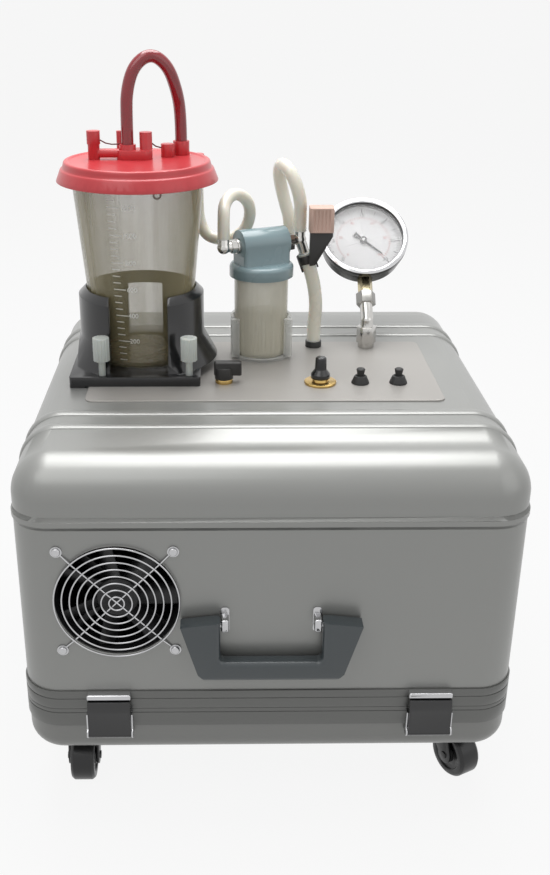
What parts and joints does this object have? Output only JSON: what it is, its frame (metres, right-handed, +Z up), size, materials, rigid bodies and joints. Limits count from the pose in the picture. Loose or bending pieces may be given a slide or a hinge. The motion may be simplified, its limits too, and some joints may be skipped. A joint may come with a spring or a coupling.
{
  "type": "vacuum aspirator",
  "caption": "Wheeled laboratory vacuum aspirator: drawn metal case with a carrying handle and fan, and a lidded collection jar, overflow trap, hoses, tilted gauge and controls on top.",
  "frame": {"origin": "on the floor under the middle of the overall box, hoses not counted", "axes": "+Z up; -Y towards the operator, the face with the handle, fan and latches; +X to the operator's right"},
  "size_m": [0.4764, 0.5118, 0.7025],
  "materials": {
    "shell_paint": "satin silver",
    "rail_metal": "satin",
    "panel_overlay": "satin printed-film silver, left bare",
    "fan_black": "matt",
    "chrome_wire": "polished",
    "handle_grey": "satin",
    "latch_black": "gloss",
    "steel": "zinc-plated",
    "wheel_black": "matt",
    "holder_black": "gloss",
    "screw_white": "natural",
    "jar_clear": "clear, slightly hazy",
    "lid_red": "satin",
    "tube_red": "translucent gloss",
    "tube_cream": "translucent",
    "trap_clear": "clear",
    "cap_blue": "satin",
    "fitting_chrome": "polished",
    "dark_plastic": "matt",
    "filter_body": "matt",
    "gauge_black": "gloss",
    "dial_white": "printed",
    "needle_black": "matt",
    "lens_clear": "clear",
    "brass": "satin",
    "pump_metal": "painted grey",
    "mount_rubber": "matt"
  },
  "bodies": {
    "base": {"bottom_tray": "shell_paint", "lower_valance": "rail_metal", "caster_plates": "steel", "latch_bases": "latch_black", "hinge_lower_leaves": "steel"},
    "case": {"body_shell": "shell_paint", "canister_holder": "holder_black", "canister_jar": "jar_clear", "canister_lid": "lid_red", "cap_elbow": "dark_plastic", "chassis_plate": "steel", "control_panel": "panel_overlay", "fan_frame": "fan_black", "fan_guard": "chrome_wire", "fan_screws": "steel", "filter_clamp": "dark_plastic", "gauge_bezel": "gauge_black", "gauge_case": "gauge_black", "gauge_dial": "dial_white", "gauge_lens": "lens_clear", "gauge_stem": "fitting_chrome", "handle_posts": "chrome_wire", "hinge_upper_leaves": "steel", "hose_fittings": "fitting_chrome", "inline_filter": "filter_body", "latch_keepers": "chrome_wire", "lid_ports": "lid_red", "loop_tube": "tube_cream", "power_inlet": "dark_plastic", "pump_mounts": "mount_rubber", "regulator_bush": "brass", "suction_tube": "tube_cream", "tandem_tube": "tube_red", "thumb_screws": "screw_white", "toggle_bases": "mount_rubber", "top_shell": "shell_paint", "trap_cap": "cap_blue", "trap_holder": "trap_clear", "trap_jar": "trap_clear", "upper_valance": "rail_metal", "vacuum_pump": "pump_metal", "vacuum_tube": "tube_cream", "valve_body": "brass"},
    "fan": {"fan_impeller": "fan_black"},
    "carry_handle": {"handle": "handle_grey"},
    "latch_left": {"latch_lever_left": "latch_black"},
    "latch_right": {"latch_lever_right": "latch_black"},
    "needle": {"gauge_needle": "needle_black"},
    "regulator": {"regulator_knob": "dark_plastic"},
    "valve": {"valve_lever": "dark_plastic"},
    "switch_left": {"toggle_left": "mount_rubber"},
    "switch_right": {"toggle_right": "mount_rubber"},
    "caster_front_left": {"caster_fork_front_left": "wheel_black"},
    "wheel_front_left": {"caster_wheel_front_left": "wheel_black"},
    "caster_front_right": {"caster_fork_front_right": "wheel_black"},
    "wheel_front_right": {"caster_wheel_front_right": "wheel_black"},
    "caster_rear_left": {"caster_fork_rear_left": "wheel_black"},
    "wheel_rear_left": {"caster_wheel_rear_left": "wheel_black"},
    "caster_rear_right": {"caster_fork_rear_right": "wheel_black"},
    "wheel_rear_right": {"caster_wheel_rear_right": "wheel_black"}
  },
  "joints": [
    {"name": "case_hinge", "type": "hinge", "parent": "base", "child": "case", "pos_m": [0, 0.2519, 0.127], "axis": [-1, 0, 0], "range_deg": [0, 75]},
    {"name": "latch_left_flip", "type": "hinge", "parent": "base", "child": "latch_left", "pos_m": [-0.153, -0.2465, 0.104], "axis": [1, 0, 0], "range_deg": [0, 110]},
    {"name": "latch_right_flip", "type": "hinge", "parent": "base", "child": "latch_right", "pos_m": [0.153, -0.2465, 0.104], "axis": [1, 0, 0], "range_deg": [0, 110]},
    {"name": "handle_swing", "type": "hinge", "parent": "case", "child": "carry_handle", "pos_m": [0, -0.2479, 0.227], "axis": [-1, 0, 0], "range_deg": [0, 110]},
    {"name": "fan_spin", "type": "hinge", "parent": "case", "child": "fan", "pos_m": [-0.1413, -0.2279, 0.2465], "axis": [0, 1, 0], "continuous": true},
    {"name": "caster_front_left_swivel", "type": "hinge", "parent": "base", "child": "caster_front_left", "pos_m": [-0.189, -0.1619, 0.055], "axis": [0, 0, 1], "continuous": true},
    {"name": "wheel_front_left_roll", "type": "hinge", "parent": "caster_front_left", "child": "wheel_front_left", "pos_m": [-0.189, -0.1839, 0.025], "axis": [1, 0, 0], "continuous": true},
    {"name": "caster_front_right_swivel", "type": "hinge", "parent": "base", "child": "caster_front_right", "pos_m": [0.189, -0.1619, 0.055], "axis": [0, 0, 1], "continuous": true},
    {"name": "wheel_front_right_roll", "type": "hinge", "parent": "caster_front_right", "child": "wheel_front_right", "pos_m": [0.19933, -0.18132, 0.025], "axis": [0.8829, 0.4695, 0], "continuous": true},
    {"name": "caster_rear_left_swivel", "type": "hinge", "parent": "base", "child": "caster_rear_left", "pos_m": [-0.189, 0.1701, 0.055], "axis": [0, 0, 1], "continuous": true},
    {"name": "wheel_rear_left_roll", "type": "hinge", "parent": "caster_rear_left", "child": "wheel_rear_left", "pos_m": [-0.189, 0.1481, 0.025], "axis": [1, 0, 0], "continuous": true},
    {"name": "caster_rear_right_swivel", "type": "hinge", "parent": "base", "child": "caster_rear_right", "pos_m": [0.189, 0.1701, 0.055], "axis": [0, 0, 1], "continuous": true},
    {"name": "wheel_rear_right_roll", "type": "hinge", "parent": "caster_rear_right", "child": "wheel_rear_right", "pos_m": [0.189, 0.1481, 0.025], "axis": [1, 0, 0], "continuous": true},
    {"name": "needle_sweep", "type": "hinge", "parent": "case", "child": "needle", "pos_m": [0.118, 0.13726, 0.49384], "axis": [0, -0.7071, 0.7071], "range_deg": [0, 265]},
    {"name": "regulator_turn", "type": "hinge", "parent": "case", "child": "regulator", "pos_m": [0.0568, -0.0389, 0.395], "axis": [0, 0, 1], "range_deg": [0, 270]},
    {"name": "valve_turn", "type": "hinge", "parent": "case", "child": "valve", "pos_m": [-0.0427, -0.0359, 0.395], "axis": [0, 0, -1], "range_deg": [0, 90]},
    {"name": "switch_left_tip", "type": "hinge", "parent": "case", "child": "switch_left", "pos_m": [0.0983, -0.0389, 0.3885], "axis": [1, 0, 0], "range_deg": [-12, 12]},
    {"name": "switch_right_tip", "type": "hinge", "parent": "case", "child": "switch_right", "pos_m": [0.1377, -0.0389, 0.3885], "axis": [1, 0, 0], "range_deg": [-12, 12]}
  ]
}
